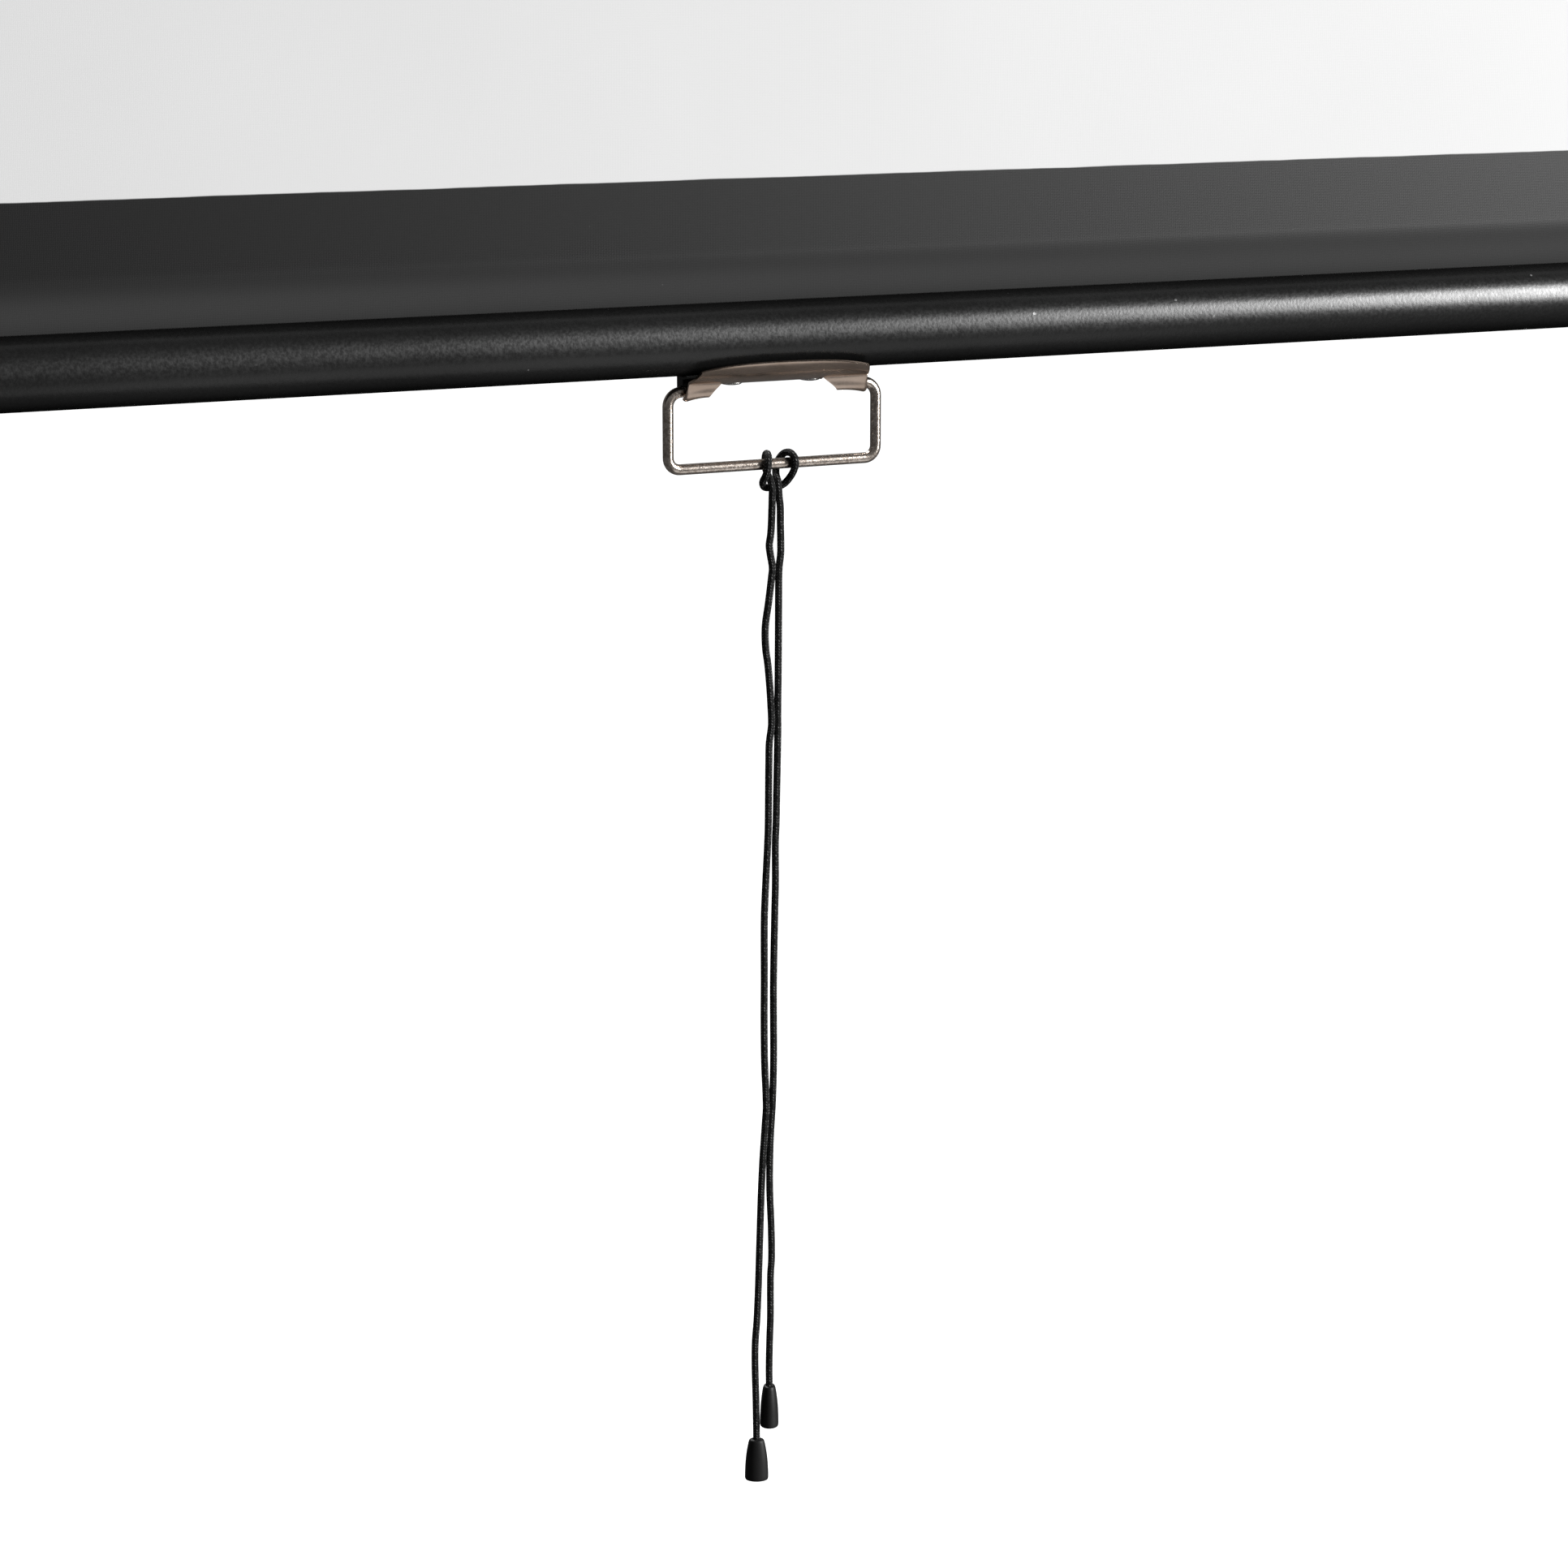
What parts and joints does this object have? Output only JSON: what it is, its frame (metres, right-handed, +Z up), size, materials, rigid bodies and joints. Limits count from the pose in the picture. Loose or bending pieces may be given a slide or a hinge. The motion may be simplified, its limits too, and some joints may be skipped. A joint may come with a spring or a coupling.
{
  "type": "pull down projector screen",
  "caption": "Wall or ceiling mounted spring roller projector screen in a slim case, pulled down by a bottom bar with a wire bail handle and a doubled pull cord.",
  "frame": {"origin": "middle of the flat back of the case, on the wall", "axes": "+X to the viewer's right along the case, +Y into the wall, +Z up"},
  "size_m": [1.7852, 0.068, 1.5859],
  "materials": {
    "powder_black": "black powder coat with a fine orange peel",
    "moulded_black": "matte black moulding",
    "zinc_steel": "bright zinc plate",
    "nickel_plate": "nickel plate with a warm, slightly mottled sheen",
    "spring_steel": "oiled spring steel",
    "screen_fabric": "matte white, finely woven, with a printed black border",
    "cord_black": "braided polyester with grey flecks"
  },
  "bodies": {
    "case": {"case_back": "powder_black", "case_top": "powder_black", "case_front": "powder_black", "case_front_floor": "powder_black", "case_rear_floor": "powder_black", "left_end_cap": "moulded_black", "right_end_cap": "moulded_black", "left_mount_bracket": "powder_black", "right_mount_bracket": "powder_black", "left_roller_bracket": "zinc_steel", "right_roller_bracket": "zinc_steel", "left_cap_screw_front": "zinc_steel", "left_cap_screw_rear": "zinc_steel", "right_cap_screw_front": "zinc_steel", "right_cap_screw_rear": "zinc_steel", "left_bracket_screw_upper": "zinc_steel", "left_bracket_screw_lower": "zinc_steel", "right_bracket_screw_upper": "zinc_steel", "right_bracket_screw_lower": "zinc_steel", "lock_core": "moulded_black", "spindle": "zinc_steel", "spring_anchor": "zinc_steel", "anchor_pin": "spring_steel", "torsion_spring": "spring_steel", "idle_bushing": "moulded_black", "screen_sheet": "screen_fabric"},
    "roller": {"roller_tube": "zinc_steel", "fabric_strip": "moulded_black", "fabric_roll": "screen_fabric", "spring_end_plug": "moulded_black", "spindle_guide": "moulded_black", "idle_plug": "moulded_black", "idle_pin": "zinc_steel"},
    "lock_ball": {"lock_ball": "spring_steel"},
    "bottom_bar": {"bottom_bar": "powder_black", "hem_rod": "zinc_steel", "left_bar_cap": "moulded_black", "right_bar_cap": "moulded_black", "handle_plate": "nickel_plate", "handle_saddle": "moulded_black", "left_handle_screw": "zinc_steel", "right_handle_screw": "zinc_steel"},
    "bail": {"bail": "nickel_plate"},
    "cord": {"cord_left_hitch": "cord_black", "cord_right_hitch": "cord_black", "cord_left_fall": "cord_black", "cord_right_fall": "cord_black", "cord_left_bell": "moulded_black", "cord_right_bell": "moulded_black", "cord_left_knot": "cord_black", "cord_right_knot": "cord_black"}
  },
  "joints": [
    {"name": "screen_travel", "type": "slide", "parent": "case", "child": "bottom_bar", "axis": [0, 0, 1], "range_m": [0, 1.0591], "deforming": ["screen_sheet"]},
    {"name": "roller_spin", "type": "hinge", "parent": "case", "child": "roller", "pos_m": [0, -0.0377, 0], "axis": [1, 0, 0], "range_deg": [-5, 2795]},
    {"name": "lock_ball_shift", "type": "slide", "parent": "roller", "child": "lock_ball", "axis": [1, 0, 0], "range_m": [-0.004, 0]},
    {"name": "bail_swing", "type": "hinge", "parent": "bottom_bar", "child": "bail", "pos_m": [0, -0.017, -1.12785], "axis": [1, 0, 0], "range_deg": [-120, 20]},
    {"name": "cord_hang", "type": "hinge", "parent": "bail", "child": "cord", "pos_m": [0, -0.017, -1.15605], "axis": [1, 0, 0], "range_deg": [-20, 120]}
  ],
  "couplings": [
    {"joint": "roller_spin", "follows": "screen_travel", "rad_per_m": 45.977},
    {"joint": "cord_hang", "follows": "bail_swing", "ratio": -1}
  ]
}
